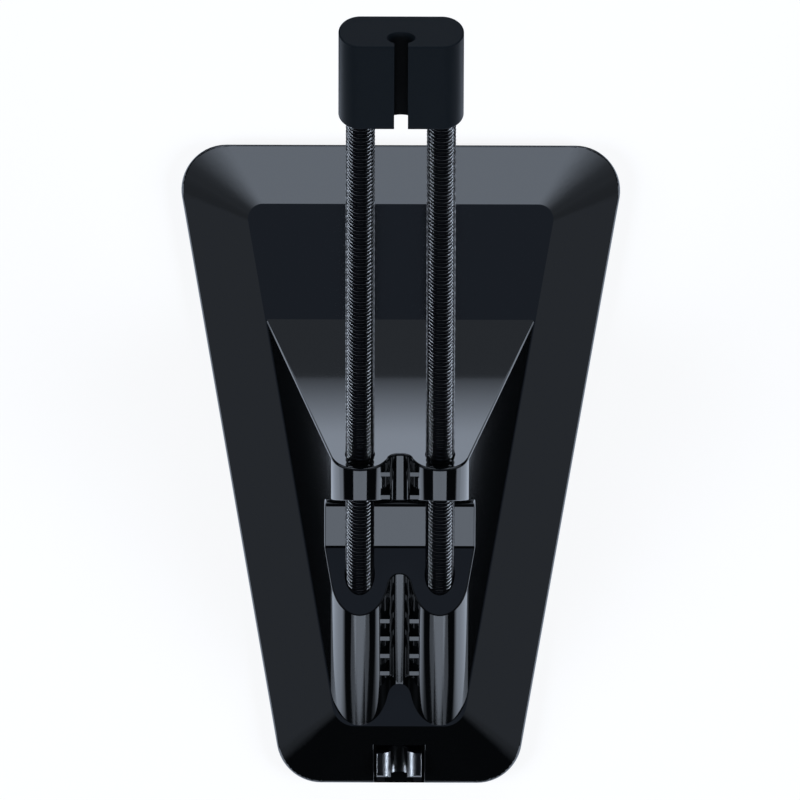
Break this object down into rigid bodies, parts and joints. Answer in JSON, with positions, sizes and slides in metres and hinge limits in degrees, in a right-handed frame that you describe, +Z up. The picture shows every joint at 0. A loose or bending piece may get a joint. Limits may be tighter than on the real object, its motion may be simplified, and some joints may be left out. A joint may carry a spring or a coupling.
{
  "type": "mouse bungee",
  "caption": "Desk mouse bungee: bevelled weighted base with a wedge tower, close-coiled springs leaning forward and a slotted soft head that holds a mouse's cable off the desk.",
  "frame": {"origin": "bottom centre of the whole object's box, on the desk", "axes": "+X to the right, +Y to the front (towards the mouse), +Z up"},
  "size_m": [0.0704, 0.1228, 0.117],
  "materials": {
    "shell": "black ABS, fine satin texture",
    "cover": "black ABS, matte",
    "ballast": "bare mild steel",
    "foot": "matte black rubber",
    "screw": "zinc plated steel",
    "spring": "glossy black spring wire",
    "pin": "bare steel",
    "cap": "matte black soft moulding",
    "clip": "smooth black plastic"
  },
  "bodies": {
    "base": {"base_shell": "shell", "bottom_cover": "cover", "ballast_plate": "ballast", "front_foot": "foot", "rear_foot": "foot", "cover_screws": "screw", "left_spring": "spring", "right_spring": "spring", "left_anchor_pin": "pin", "right_anchor_pin": "pin", "cable_clip": "clip"},
    "head": {"cable_cap": "cap"}
  },
  "joints": [
    {"name": "arm_flex", "type": "hinge", "parent": "base", "child": "head", "pos_m": [0, -0.0001, 0.0555], "axis": [1, 0, 0], "range_deg": [-25, 25], "stiffness_Nm_per_rad": 0.015, "springref_deg": 3.9, "deforming": ["left_spring", "right_spring"]}
  ]
}
